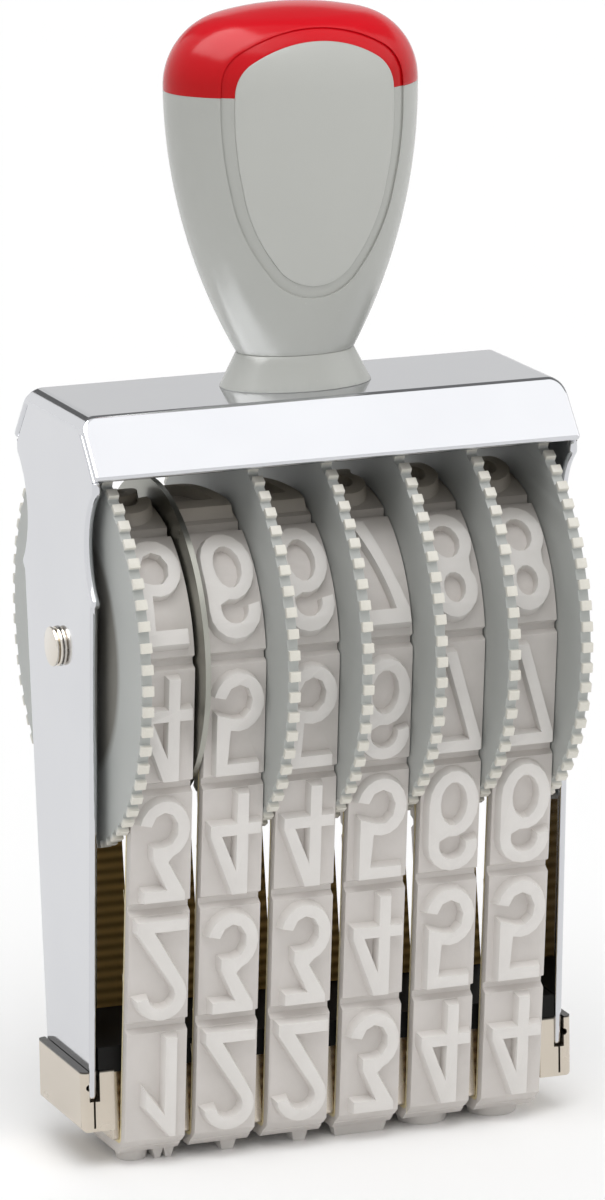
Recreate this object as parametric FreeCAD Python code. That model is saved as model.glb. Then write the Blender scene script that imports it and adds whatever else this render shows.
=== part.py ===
import FreeCAD, Part
import math
import os

# A six-band rubber number stamp, in millimetres.
# X runs along the axle, -Y is the front that the user reads, Z is up.
# The origin is on the printing plane, under the middle of the stamp.

V = FreeCAD.Vector

# Numbers of things
BAND_COUNT = 6
BAND_PLACES = 12
TOOTH_COUNT = 60
HUB_RIB_COUNT = 4

# Bands and their numerals
band_width = 9.2
fabric_thickness = 0.5
rubber_thickness = 1.7
numeral_relief = 1.6
numeral_sink = 0.3
numeral_draft = 0.45
numeral_width = 7.6
numeral_height = 15.4
numeral_stroke = 1.7
groove_mouth = 1.9
groove_floor = 0.8
groove_depth = 1.0
band_corner_radius = 0.8
printing_block_length = 16.6

# Wheels and axle
disc_radius = 29.6
disc_thickness = 1.6
disc_recess_depth = 0.6
disc_rim_height = 4.4
tooth_height = 1.0
tooth_share = 0.47
hub_wall = 1.6
hub_radius = 17.6
hub_rib_thickness = 1.4
boss_radius = 5.0
axle_radius = 2.5
running_gap = 0.05
band_gap = 0.3
band_side_gap = 0.2
end_gap = 1.5
washer_thickness = 1.1
separator_thickness = 0.8
separator_play = 0.2
separator_overhang = 1.9
axle_head_radius = 2.9
axle_head_thickness = 0.5
axle_ring_thickness = 0.5
axle_ring_groove = 0.2

# Printing bridge
axle_drop = 72.3
bridge_depth = 19.0
seat_gap = 0.05
channel_height = 10.6
channel_wall = 1.2
core_rise = 3.9
core_overhang = 0.5

# End clips
clip_sheet = 1.2
clip_height = 9.1
clip_lift = 2.0
clip_front_overlap = 0.6
clip_inner_reach = 2.4
clip_play = 0.1
clip_plate_insert = 4.5
clip_slit_width = 0.3
clip_floor = 1.3
clip_slit_floor = 0.5
clip_edge_radius = 0.9
clip_relief_radius = 0.5
clip_slot_margin = 0.2

# Housing
sheet = 1.3
fold_radius = 2.4
disc_top_gap = 4.8
top_depth = 24.0
apron_height = 7.8
apron_flare = 6.8
fold_gap = 0.25
notch_top_drop = 2.6
notch_depth = 3.0
shoulder_rise = 9.4
shoulder_depth = 32.6
shoulder_step = 1.2
plate_bottom_depth = 19.0

# Handle
collar_height = 5.0
collar_width = 22.8
collar_top_width = 17.6
grip_width = 37.8
grip_height = 50.4
grip_depth_share = 0.70
grip_brow_height = 11.5
grip_brow_radius = 10.5
tenon_radius = 9.0
tenon_height = 5.0
cap_rise_share = 0.765
cap_seat_gap = 0.1
panel_width = 24.0
panel_height = 35.5
panel_top_drop = 4.3
panel_border = 1.8
panel_thickness = 1.4
panel_recess = 0.35
screw_radius = 2.5
screw_length = 24.0
screw_head_radius = 4.5
screw_head_height = 2.4
screw_washer_radius = 5.5
screw_washer_thickness = 0.8

# One overrun serves every cut
overrun = 1.0

# Derived sizes
band_thickness = fabric_thickness + rubber_thickness
loop_radius = hub_radius + band_gap
loop_bottom = band_thickness + numeral_relief
axle_z = loop_bottom + axle_drop
bay_width = band_width + 2 * band_side_gap
separator_space = separator_thickness + 2 * separator_play
stack_width = BAND_COUNT * (bay_width + disc_thickness) + separator_space
inner_width = stack_width + 2 * end_gap
inner_x = inner_width / 2
outer_x = inner_x + sheet
housing_top = axle_z + disc_radius + disc_top_gap + sheet
apron_bottom = housing_top - apron_height
apron_half_depth = top_depth / 2 + apron_flare
clip_bottom = loop_bottom + clip_lift
clip_top = clip_bottom + clip_height
plate_bottom = clip_top - clip_plate_insert
clip_inner_x = inner_x - clip_inner_reach
clip_outer_x = outer_x + clip_play + clip_sheet
clip_half_depth = plate_bottom_depth / 2 + clip_front_overlap
channel_bottom = loop_bottom + seat_gap
channel_top = channel_bottom + channel_height
channel_half_depth = bridge_depth / 2 - seat_gap
collar_top = housing_top + collar_height
grip_top = collar_top + grip_height
cap_z = collar_top + cap_rise_share * grip_height


def save(name, shape):
    """Write one node and say how many solids it holds."""
    shape.exportStep("parts/" + name + ".step")
    print(name, len(shape.Solids), "solid", round(shape.Volume), "mm3")


def box(low, high):
    size = high - low
    return Part.makeBox(size.x, size.y, size.z, low)


def rod(radius, start_x, end_x, y=0, z=None):
    """A round bar along X, on the axle's line unless told otherwise."""
    height = axle_z if z is None else z
    return Part.makeCylinder(radius, end_x - start_x, V(start_x, y, height), V(1, 0, 0))


def prism(points, direction):
    """A closed outline swept along one direction."""
    wire = Part.makePolygon(points + [points[0]])
    return Part.Face(wire).extrude(direction)


def side_prism(outline, start_x, end_x):
    """An outline of (y, z) pairs swept along X."""
    points = [V(start_x, y, z) for y, z in outline]
    return prism(points, V(end_x - start_x, 0, 0))


# The path that a band's inside follows round the hub and the bridge

corner_y = bridge_depth / 2 - band_corner_radius
corner_z = loop_bottom + band_corner_radius
centre_distance = math.hypot(corner_y, axle_z - corner_z)
run_angle = math.asin((loop_radius - band_corner_radius) / centre_distance) - math.atan2(
    corner_y, axle_z - corner_z
)
run_length = math.sqrt(centre_distance**2 - (loop_radius - band_corner_radius) ** 2)
corner_turn = math.pi / 2 - run_angle
hub_turn = math.pi + 2 * run_angle
corner_length = corner_turn * band_corner_radius
hub_length = hub_turn * loop_radius
loop_length = 2 * (corner_y + corner_length + run_length) + hub_length
band_pitch = loop_length / BAND_PLACES
print("band loop", round(loop_length, 2), "pitch", round(band_pitch, 3))

front_normal = V(0, -math.cos(run_angle), -math.sin(run_angle))
front_corner = V(0, -corner_y, corner_z)
hub_centre = V(0, 0, axle_z)


def flip(vector):
    """The same vector on the rear half of the loop."""
    return V(vector.x, -vector.y, vector.z)


def path_frame(distance):
    """Point and outward normal on the path, from the middle of the bottom towards the front."""
    distance = distance % loop_length
    if distance > loop_length / 2:
        point, normal = path_frame(loop_length - distance)
        return flip(point), flip(normal)
    if distance <= corner_y:
        return V(0, -distance, loop_bottom), V(0, 0, -1)
    distance -= corner_y
    if distance <= corner_length:
        angle = distance / band_corner_radius
        normal = V(0, -math.sin(angle), -math.cos(angle))
        return front_corner + normal * band_corner_radius, normal
    distance -= corner_length
    if distance <= run_length:
        start = front_corner + front_normal * band_corner_radius
        along = V(0, front_normal.z, -front_normal.y)
        return start + along * distance, front_normal
    distance -= run_length
    angle = corner_turn + distance / loop_radius
    normal = V(0, -math.sin(angle), -math.cos(angle))
    return hub_centre + normal * loop_radius, normal


def loop_wire(offset, start_x):
    """The band's loop at one height over its inside, with a flat-ended printing block."""
    shift = V(start_x, 0, 0)
    hub_front = hub_centre + front_normal * (loop_radius + offset) + shift
    hub_top = hub_centre + V(0, 0, loop_radius + offset) + shift
    run_foot = front_corner + front_normal * (band_corner_radius + offset) + shift
    edges = [
        Part.Arc(flip(hub_front), hub_top, hub_front).toShape(),
        Part.makeLine(hub_front, run_foot),
    ]
    bottom_z = loop_bottom - offset
    if offset > fabric_thickness:
        flat = V(start_x, -printing_block_length / 2, bottom_z)
        edges.append(Part.makeLine(run_foot, flat))
    else:
        flat = V(start_x, -corner_y, bottom_z)
        middle = V(0, -math.sin(corner_turn / 2), -math.cos(corner_turn / 2))
        bend = front_corner + middle * (band_corner_radius + offset) + shift
        edges.append(Part.Arc(run_foot, bend, flat).toShape())
    edges.append(Part.makeLine(flat, flip(flat)))
    edges.append(edges[2].mirror(V(0, 0, 0), V(0, 1, 0)))
    edges.append(Part.makeLine(flip(run_foot), flip(hub_front)))
    return Part.Wire(Part.__sortEdges__(edges))


def loop_solid(offset, start_x, end_x):
    return Part.Face(loop_wire(offset, start_x)).extrude(V(end_x - start_x, 0, 0))


def loop_layer(inside, outside, start_x, end_x):
    """The skin of the loop between two heights."""
    outer = loop_solid(outside, start_x, end_x)
    return outer.cut(loop_solid(inside, start_x - overrun, end_x + overrun))


# Numeral outlines, read upright about their own middle

half_w = numeral_width / 2
half_h = numeral_height / 2
ring_rise_share = 0.57
bow_points = 7


def bow(centre, reach, start, end, points=bow_points):
    """Points on an ellipse from one angle to another, in degrees."""
    steps = [start + (end - start) * i / points for i in range(points + 1)]
    return [
        (
            centre[0] + reach[0] * math.cos(math.radians(a)),
            centre[1] + reach[1] * math.sin(math.radians(a)),
        )
        for a in steps
    ]


def ring(centre, reach):
    """A closed ellipse with no repeated point."""
    return bow(centre, reach, 0, 360, 2 * bow_points)[:-1]


def thinner(reach):
    return (reach[0] - numeral_stroke, reach[1] - numeral_stroke)


bowl_reach = (half_w, ring_rise_share * half_h)
bowl_centre = (0, -half_h + bowl_reach[1])


cap_reach = (half_w, half_w)
cap_centre = (0, half_h - half_w)


def pill(reach):
    """A closed upright outline with straight sides and two rounded ends."""
    upper = bow(cap_centre, reach, 0, 180)
    return upper + [(-x, -y) for x, y in upper]


def zero():
    return [pill(cap_reach)], [pill(thinner(cap_reach))]


def one():
    right_share = 0.68
    flag_reach_share = 0.55
    flag_drop_share = 0.62
    right = right_share * half_w
    left = right - numeral_stroke
    tip = -flag_reach_share * half_w
    drop = flag_drop_share * half_h
    outline = [
        (left, -half_h),
        (right, -half_h),
        (right, half_h),
        (left + numeral_stroke / 2, half_h),
        (tip, half_h - drop),
        (tip, half_h - drop - numeral_stroke - numeral_stroke / 2),
        (left, half_h - 2 * numeral_stroke),
    ]
    return [outline], []


def two():
    foot = -half_h + numeral_stroke
    outline = bow(cap_centre, cap_reach, 172, -32, 2 * bow_points)
    outline += [
        (-half_w + numeral_stroke + numeral_stroke / 2, foot),
        (half_w, foot),
        (half_w, -half_h),
        (-half_w, -half_h),
        (-half_w, foot),
    ]
    outline += bow(cap_centre, thinner(cap_reach), -32, 172)
    return [outline], []


def three():
    top = half_h - numeral_stroke
    outline = [
        (-half_w + numeral_stroke / 2, half_h),
        (half_w - numeral_stroke / 3, half_h),
        (half_w - numeral_stroke / 3, top + numeral_stroke / 3),
        (numeral_stroke / 3, bowl_centre[1] + bowl_reach[1] + numeral_stroke / 3),
    ]
    outline += bow(bowl_centre, bowl_reach, 70, -166, 2 * bow_points)
    outline += bow(bowl_centre, thinner(bowl_reach), -166, 92)
    outline += [
        (-numeral_stroke, bowl_centre[1] + bowl_reach[1] - numeral_stroke),
        (-numeral_stroke, bowl_centre[1] + bowl_reach[1]),
        (numeral_stroke / 3, top),
        (-half_w + numeral_stroke / 2, top),
    ]
    return [outline], []


def four():
    right_share = 0.5
    bar_share = 0.40
    right = right_share * half_w
    left = right - numeral_stroke
    bar = -bar_share * half_h
    outline = [
        (left, -half_h),
        (right, -half_h),
        (right, bar),
        (half_w, bar),
        (half_w, bar + numeral_stroke),
        (right, bar + numeral_stroke),
        (right, half_h),
        (left - numeral_stroke / 3, half_h),
        (-half_w, bar + numeral_stroke),
        (-half_w, bar),
        (left, bar),
    ]
    hole = [
        (-half_w + numeral_stroke, bar + numeral_stroke),
        (left, bar + numeral_stroke),
        (left, half_h - 2 * numeral_stroke),
    ]
    return [outline], [hole]


def five():
    top = half_h - numeral_stroke
    left = -half_w + numeral_stroke / 3
    outline = [
        (left, half_h),
        (left, bowl_centre[1] + numeral_stroke),
    ]
    outline += bow(bowl_centre, thinner(bowl_reach), 110, -166)
    outline += bow(bowl_centre, bowl_reach, -166, 108, 2 * bow_points)
    outline += [
        (left + numeral_stroke, top),
        (half_w - numeral_stroke / 3, top),
        (half_w - numeral_stroke / 3, half_h),
    ]
    return [outline], []


def six():
    tall_share = 0.66
    reach = (half_w, tall_share * half_h)
    centre = (0, -half_h + reach[1])
    outline = bow(cap_centre, cap_reach, -12, 180, bow_points + 2)
    outline += bow(centre, reach, 180, 462, 2 * bow_points)
    outline += [(-half_w + numeral_stroke, centre[1] + reach[1] + numeral_stroke / 3)]
    outline += bow(cap_centre, thinner(cap_reach), 180, -12, bow_points + 2)
    return [outline], [ring(centre, thinner(reach))]


def seven():
    top = half_h - numeral_stroke
    outline = [
        (-half_w, half_h),
        (half_w, half_h),
        (half_w, top),
        (-half_w + 2 * numeral_stroke, -half_h),
        (-half_w + numeral_stroke, -half_h),
        (half_w - numeral_stroke, top),
        (-half_w, top),
    ]
    return [outline], []


def eight():
    upper_share = 0.90
    upper_reach = (upper_share * bowl_reach[0], upper_share * bowl_reach[1])
    upper_centre = (0, half_h - upper_reach[1])
    outline = bow(bowl_centre, bowl_reach, 140, 400, 2 * bow_points)
    outline += bow(upper_centre, upper_reach, -36, 216, 2 * bow_points)
    holes = [ring(bowl_centre, thinner(bowl_reach)), ring(upper_centre, thinner(upper_reach))]
    return [outline], holes


def nine():
    outlines, holes = six()
    turned = [[(-x, -y) for x, y in outline] for outline in outlines]
    return turned, [[(-x, -y) for x, y in hole] for hole in holes]


def sign():
    """A ring beside two bars, for the sign block that leads the first place."""
    ring_share = 0.57
    reach = (ring_share * half_w, ring_share * half_w)
    centre = (-half_w + reach[0], -half_h + reach[1])
    bars = []
    for right in (half_w, half_w - numeral_stroke):
        left = right - numeral_stroke / 2
        bars.append([(left, -half_h), (right, -half_h), (right, half_h), (left, half_h)])
    hole_share = 0.45
    hole = ring(centre, (hole_share * reach[0], hole_share * reach[1]))
    return [ring(centre, reach)] + bars, [hole]


FIGURES = [sign, one, two, three, four, five, six, seven, eight, nine, zero]


def is_left_turning(points):
    area = 0
    for (x0, y0), (x1, y1) in zip(points, points[1:] + points[:1]):
        area += x0 * y1 - x1 * y0
    return area > 0


def grown(points, distance):
    """Offset a closed outline with mitred corners, outward for a positive distance."""
    side = distance if is_left_turning(points) else -distance
    result = []
    for i, (x, y) in enumerate(points):
        before = points[i - 1]
        after = points[(i + 1) % len(points)]
        first = V(x - before[0], y - before[1], 0).normalize()
        second = V(after[0] - x, after[1] - y, 0).normalize()
        middle = V(first.y + second.y, -first.x - second.x, 0)
        reach = 2 * side / middle.dot(middle)
        result.append((x + middle.x * reach, y + middle.y * reach))
    return result


def closed_wire(points, height):
    corners = [V(x, y, height) for x, y in points]
    return Part.makePolygon(corners + [corners[0]])


def sloped_walls(foot, top, low, high):
    """Flat walls between one outline and its offset at another height."""
    walls = []
    for i in range(len(top)):
        j = (i + 1) % len(top)
        corners = [V(*foot[i], low), V(*foot[j], low), V(*top[j], high), V(*top[i], high)]
        walls.append(Part.Face(Part.makePolygon(corners + [corners[0]])))
    return walls


def drafted(outline, holes, low, high):
    """A raised outline with holes, whose walls all lean by the draft."""
    foot = grown(outline, numeral_draft)
    foot_holes = [grown(hole, -numeral_draft) for hole in holes]
    walls = sloped_walls(foot, outline, low, high)
    for foot_hole, hole in zip(foot_holes, holes):
        walls += sloped_walls(foot_hole, hole, low, high)
    ends = []
    for height, rim, inner in ((low, foot, foot_holes), (high, outline, holes)):
        wires = [closed_wire(rim, height)] + [closed_wire(hole, height) for hole in inner]
        ends.append(Part.makeFace(wires, "Part::FaceMakerBullseye"))
    solid = Part.Solid(Part.makeShell(walls + ends))
    if solid.Volume < 0:
        solid.reverse()
    return solid


def figure_solids(figure, low, high):
    """A raised figure, turned over top to bottom so that it prints upright."""
    outlines, holes = [[[(x, -y) for x, y in line] for line in lines] for lines in figure()]
    solids = [drafted(outlines[0], holes, low, high)]
    for outline in outlines[1:]:
        solids.append(drafted(outline, [], low, high))
    return solids


def placement(distance, centre_x):
    """Carries a figure on the XY plane to its place on the loop."""
    point, normal = path_frame(distance)
    across = V(1, 0, 0)
    up = normal.cross(across)
    turn = FreeCAD.Rotation(across, up, normal)
    return FreeCAD.Placement(V(centre_x, point.y, point.z), turn)


def raised_figures(first_place, centre_x):
    """The numerals of one band, curved with it where they lie over the hub."""
    top = band_thickness + numeral_relief
    low = band_thickness - numeral_sink
    sag = loop_radius + top - math.sqrt((loop_radius + top) ** 2 - half_h**2)
    hub_start = corner_y + corner_length + run_length
    half_band = band_width / 2
    limit = loop_layer(fabric_thickness, top, centre_x - half_band, centre_x + half_band)
    raised = []
    for place in range(BAND_PLACES):
        index = (place + first_place) % BAND_PLACES
        if index >= len(FIGURES):
            continue
        middle = place * band_pitch
        reach = min(middle, loop_length - middle) + half_h
        on_hub = reach > hub_start
        depth = low - sag if on_hub else low
        for solid in figure_solids(FIGURES[index], depth, top):
            solid.Placement = placement(middle, centre_x)
            raised.append(solid.common(limit) if on_hub else solid)
    return raised


def band_fabric(centre_x):
    """The woven backing that runs inside the rubber."""
    half_band = band_width / 2
    return loop_layer(0, fabric_thickness, centre_x - half_band, centre_x + half_band)


def band_rubber(first_place, centre_x):
    """The rubber of one band, grooved between its places."""
    low_x = centre_x - band_width / 2
    high_x = centre_x + band_width / 2
    rubber = loop_layer(fabric_thickness, band_thickness, low_x, high_x)
    grooves = []
    for place in range(BAND_PLACES):
        point, normal = path_frame((place * band_pitch) + band_pitch / 2)
        grooves.append(groove_cutter(point, normal, low_x, high_x))
    rubber = rubber.cut(grooves)
    return rubber.fuse(raised_figures(first_place, centre_x)).removeSplitter()


def groove_cutter(point, normal, low_x, high_x):
    """A trapezium across the band between two places."""
    along = V(0, normal.z, -normal.y)
    mouth_height = band_thickness + overrun
    slope = (groove_mouth - groove_floor) / groove_depth / 2
    mouth = groove_mouth / 2 + overrun * slope
    floor_height = band_thickness - groove_depth
    corners = []
    for height, reach in (
        (floor_height, -groove_floor / 2),
        (floor_height, groove_floor / 2),
        (mouth_height, mouth),
        (mouth_height, -mouth),
    ):
        corner = point + normal * height + along * reach
        corners.append(V(low_x - overrun, corner.y, corner.z))
    return prism(corners, V(high_x - low_x + 2 * overrun, 0, 0))


def tooth_outline(radius):
    """Square teeth round a disc, as (y, z) pairs about the axle."""
    root = radius - tooth_height
    pitch = 2 * math.pi / TOOTH_COUNT
    points = []
    for tooth in range(TOOTH_COUNT):
        start = tooth * pitch
        end = start + tooth_share * pitch
        for angle, reach in ((start, root), (start, radius), (end, radius), (end, root)):
            points.append((reach * math.cos(angle), axle_z + reach * math.sin(angle)))
    return points


def wheel(disc_face_x, hub_side, recessed):
    """A toothed thumb disc with a ribbed hub on one side of it."""
    disc_far_x = disc_face_x - hub_side * disc_thickness
    low_x, high_x = sorted((disc_face_x, disc_far_x))
    disc = side_prism(tooth_outline(disc_radius), low_x, high_x)
    if recessed:
        recess_x = disc_far_x + hub_side * disc_recess_depth
        start, end = sorted((recess_x, disc_far_x - hub_side * overrun))
        disc = disc.cut(rod(disc_radius - disc_rim_height, start, end))
    hub_end_x = disc_face_x + hub_side * (bay_width - band_side_gap)
    low_x, high_x = sorted((disc_face_x, hub_end_x))
    hub = rod(hub_radius, low_x, high_x)
    hub = hub.cut(rod(hub_radius - hub_wall, low_x - overrun, high_x + overrun))
    body = disc.fuse([hub, rod(boss_radius, low_x, high_x)])
    rib_reach = hub_radius - hub_wall / 2
    for rib in range(HUB_RIB_COUNT):
        blade = box(
            V(low_x, 0, axle_z - hub_rib_thickness / 2),
            V(high_x, rib_reach, axle_z + hub_rib_thickness / 2),
        )
        blade.rotate(hub_centre, V(1, 0, 0), 360 * rib / HUB_RIB_COUNT)
        body = body.fuse(blade)
    reach = disc_thickness + bay_width
    bore = rod(axle_radius + running_gap, disc_face_x - reach, disc_face_x + reach)
    return body.cut(bore).removeSplitter()


def plate_outline():
    """The side plate's edge as a closed wire of lines and two notch arcs."""
    top_half = top_depth / 2
    notch_top = apron_bottom - notch_top_drop
    shoulder_z = axle_z + shoulder_rise
    shoulder_y = shoulder_depth / 2
    notch_y = apron_half_depth - sheet
    taper_y = shoulder_y - shoulder_step
    foot_y = plate_bottom_depth / 2
    deep_y = shoulder_y - notch_depth
    edges = []
    for side in (-1, 1):
        points = [
            V(0, side * top_half, housing_top),
            V(0, side * apron_half_depth, apron_bottom),
            V(0, side * notch_y, apron_bottom - overrun),
            V(0, side * notch_y, notch_top),
        ]
        edges += [Part.makeLine(a, b) for a, b in zip(points, points[1:])]
        tip = V(0, side * shoulder_y, shoulder_z)
        deep = V(0, side * deep_y, (notch_top + shoulder_z) / 2)
        edges.append(Part.Arc(points[-1], deep, tip).toShape())
        step = V(0, side * taper_y, shoulder_z - shoulder_step)
        foot = V(0, side * foot_y, plate_bottom)
        edges.append(Part.makeLine(tip, step))
        edges.append(Part.makeLine(step, foot))
    edges.append(Part.makeLine(V(0, -top_half, housing_top), V(0, top_half, housing_top)))
    edges.append(Part.makeLine(V(0, -foot_y, plate_bottom), V(0, foot_y, plate_bottom)))
    return Part.Wire(Part.__sortEdges__(edges))


def round_topped(half_width, top, radius):
    """A tall block along Y whose two upper edges are rounded."""
    reach = apron_half_depth + overrun
    block = box(V(-half_width, -reach, plate_bottom - overrun), V(half_width, reach, top))
    edges = [
        e
        for e in block.Edges
        if abs(e.CenterOfMass.z - top) < seat_gap and abs(e.CenterOfMass.x) > half_width - seat_gap
    ]
    return block.makeFillet(radius, edges)


def roof_prism(inset, half_width):
    """The sloped roof of the housing at one depth in from its outside."""
    slope = math.atan2(apron_flare, apron_height)
    top = housing_top - inset
    low = plate_bottom - overrun
    top_y = top_depth / 2 - inset * math.tan((math.pi / 2 - slope) / 2)
    low_y = top_y + apron_flare / apron_height * (top - low)
    outline = [(top_y, top), (-top_y, top), (-low_y, low), (low_y, low)]
    return side_prism(outline, -half_width, half_width)


def housing():
    """One sheet: flat top, two sloped aprons and two side plates."""
    outline = plate_outline()
    body = Part.Face(outline).extrude(V(2 * outer_x, 0, 0))
    body.translate(V(-outer_x, 0, 0))
    body = body.common(round_topped(outer_x, housing_top, fold_radius))
    inner_radius = fold_radius - sheet
    core = round_topped(inner_x, housing_top - sheet, inner_radius)
    core = core.common(roof_prism(sheet, inner_x))
    body = body.cut(core)
    shell = body.cut(fold_slits())
    hole = rod(axle_radius + running_gap, -outer_x - overrun, outer_x + overrun)
    shell = shell.cut(hole)
    screw_hole = Part.makeCylinder(
        screw_radius + running_gap, sheet + 2 * overrun, V(0, 0, housing_top - sheet - overrun)
    )
    return shell.cut(screw_hole).removeSplitter()


def fold_slits():
    """Thin gaps where each apron's end lies over the side plate's edge."""
    outer = roof_prism(sheet, outer_x + overrun)
    inner = roof_prism(sheet + fold_gap, outer_x + 2 * overrun)
    skin = outer.cut(inner)
    slits = []
    for side_x in (-1, 1):
        for side_y in (-1, 1):
            xs = sorted((side_x * (inner_x - overrun / 2), side_x * (outer_x + overrun)))
            ys = sorted((side_y * (top_depth / 2), side_y * (apron_half_depth + overrun)))
            region = box(
                V(xs[0], ys[0], apron_bottom - 2 * overrun),
                V(xs[1], ys[1], housing_top - fold_radius),
            )
            slits.append(skin.common(region))
    return slits


def axle():
    """The rod, necked for its rings, with a head at each end."""
    head_start = outer_x + axle_ring_thickness + axle_ring_groove
    head_end = head_start + axle_head_thickness
    body = rod(axle_radius, -head_end, head_end)
    heads = [rod(axle_head_radius, head_start, head_end), rod(axle_head_radius, -head_end, -head_start)]
    return body.fuse(heads).removeSplitter()


def collar_ring(start_x, end_x, radius, bore_gap):
    ring_solid = rod(radius, start_x, end_x)
    return ring_solid.cut(rod(axle_radius + bore_gap, start_x - overrun, end_x + overrun))


def bridge_channel():
    """A sheet channel, open upward, with rounded lower edges for the bands."""
    outer_radius = band_corner_radius - seat_gap
    low = V(-clip_inner_x, -channel_half_depth, channel_bottom)
    high = V(clip_inner_x, channel_half_depth, channel_top)
    block = box(low, high)
    edges = [
        e
        for e in block.Edges
        if abs(e.CenterOfMass.z - channel_bottom) < seat_gap
        and abs(abs(e.CenterOfMass.y) - channel_half_depth) < seat_gap
    ]
    block = block.makeFillet(outer_radius, edges)
    inside = box(
        V(low.x - overrun, low.y + channel_wall, low.z + channel_wall),
        V(high.x + overrun, high.y - channel_wall, high.z + overrun),
    )
    return block.cut(inside)


def bridge_core():
    """A block over the channel with a tongue down inside it."""
    tongue_y = channel_half_depth - channel_wall - seat_gap
    block_y = channel_half_depth + core_overhang
    ledge = clip_top + seat_gap
    top = channel_top + core_rise
    middle_x = clip_inner_x - seat_gap
    end_x = inner_x - clip_play
    tongue = box(
        V(-middle_x, -tongue_y, channel_bottom + channel_wall + seat_gap),
        V(middle_x, tongue_y, channel_top + seat_gap),
    )
    middle = box(V(-middle_x, -block_y, channel_top + seat_gap), V(middle_x, block_y, top))
    ends = box(V(-end_x, -block_y, ledge), V(end_x, block_y, top))
    return tongue.fuse([middle, ends]).removeSplitter()


def end_clip(side):
    """A folded sheet clip that takes the foot of one side plate in its slots."""
    xs = sorted((side * clip_inner_x, side * clip_outer_x))
    block = box(V(xs[0], -clip_half_depth, clip_bottom), V(xs[1], clip_half_depth, clip_top))
    cheek_x = side * clip_outer_x
    edges = [
        e
        for e in block.Edges
        if abs(e.CenterOfMass.x - cheek_x) < seat_gap and e.CenterOfMass.z < clip_top - seat_gap
    ]
    block = block.makeFillet(clip_edge_radius, edges)
    xs = sorted((side * (clip_inner_x + clip_sheet), side * (clip_outer_x - clip_sheet)))
    inside = box(
        V(xs[0], -clip_half_depth + clip_sheet, clip_bottom + clip_floor),
        V(xs[1], clip_half_depth - clip_sheet, clip_top + overrun),
    )
    xs = sorted((side * (inner_x - clip_slot_margin), side * (outer_x + clip_play)))
    reach = clip_half_depth + overrun
    slot = box(
        V(xs[0], -reach, plate_bottom - clip_play),
        V(xs[1], reach, clip_top + overrun),
    )
    slit_middle = side * (inner_x + outer_x) / 2
    slit = box(
        V(slit_middle - clip_slit_width / 2, -reach, clip_bottom + clip_slit_floor),
        V(slit_middle + clip_slit_width / 2, reach, plate_bottom),
    )
    relief_x = side * (outer_x + clip_play)
    relief = Part.makeCylinder(
        clip_relief_radius, 2 * reach, V(relief_x, -reach, clip_top - 2 * clip_sheet), V(0, 1, 0)
    )
    return block.cut([inside, slot, slit, relief])


def oval_cone():
    """The collar between the housing and the grip."""
    round_cone = Part.makeCone(
        collar_width / 2, collar_top_width / 2, collar_height, V(0, 0, housing_top)
    )
    return flatten(round_cone)


def flatten(shape):
    """Squeeze a turned shape front to back into an oval one."""
    matrix = FreeCAD.Matrix()
    matrix.scale(V(1, grip_depth_share, 1))
    return shape.transformGeometry(matrix)


def grip_form():
    """The palm grip from three tangent arcs, turned and then squeezed to its oval."""
    half_width = grip_width / 2
    foot_width = collar_top_width / 2
    brow_z = grip_top - grip_brow_height
    brow_centre = half_width - grip_brow_radius
    crown_radius = (
        brow_centre**2 + grip_brow_height**2 - grip_brow_radius**2
    ) / (2 * (grip_brow_height - grip_brow_radius))
    crown_z = grip_top - crown_radius
    lean = math.atan2(brow_centre, brow_z - crown_z)
    side_rise = brow_z - collar_top
    side_draw = half_width - foot_width
    side_radius = (side_rise**2 + side_draw**2) / (2 * side_draw)
    side_x = half_width - side_radius
    half_fall = math.asin(side_rise / side_radius) / 2
    foot = V(foot_width, 0, collar_top)
    side_middle = V(
        side_x + side_radius * math.cos(half_fall), 0, brow_z - side_radius * math.sin(half_fall)
    )
    brow = V(half_width, 0, brow_z)
    half_turn = (math.pi / 2 - lean) / 2
    brow_middle = V(
        brow_centre + grip_brow_radius * math.cos(half_turn),
        0,
        brow_z + grip_brow_radius * math.sin(half_turn),
    )
    crown_edge = V(crown_radius * math.sin(lean), 0, crown_z + crown_radius * math.cos(lean))
    half_lean = lean / 2
    crown_middle = V(
        crown_radius * math.sin(half_lean), 0, crown_z + crown_radius * math.cos(half_lean)
    )
    top = V(0, 0, grip_top)
    axis_foot = V(0, 0, collar_top)
    edges = [
        Part.Arc(foot, side_middle, brow).toShape(),
        Part.Arc(brow, brow_middle, crown_edge).toShape(),
        Part.Arc(crown_edge, crown_middle, top).toShape(),
        Part.makeLine(top, axis_foot),
        Part.makeLine(axis_foot, foot),
    ]
    turned = Part.Face(Part.Wire(edges)).revolve(V(0, 0, 0), V(0, 0, 1), 360)
    return flatten(turned)


# Shield outline: side share and drop share at the arc ends and middles, read from the top
SHIELD_SHARES = [
    (0.0, 0.0),
    (0.80, 0.080),
    (0.933, 0.127),
    (1.0, 0.20),
    (0.985, 0.42),
    (0.90, 0.60),
    (0.735, 0.775),
    (0.50, 0.905),
    (0.0, 1.0),
]


def panel_prism(border, side):
    """The shield outline, grown by a border, swept out of the grip's front or back."""
    half = panel_width / 2 + border
    top = grip_top - panel_top_drop + border
    height = panel_height + 2 * border
    right = [V(x * half, 0, top - z * height) for x, z in SHIELD_SHARES]
    left = [V(-p.x, 0, p.z) for p in right]
    edges = [Part.Arc(left[1], right[0], right[1]).toShape()]
    edges.append(Part.Arc(left[7], right[8], right[7]).toShape())
    for points in (right, left):
        for start in (1, 3, 5):
            edges.append(Part.Arc(*points[start:start + 3]).toShape())
    face = Part.Face(Part.Wire(Part.__sortEdges__(edges)))
    return face.extrude(V(0, side * grip_width, 0))


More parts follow.
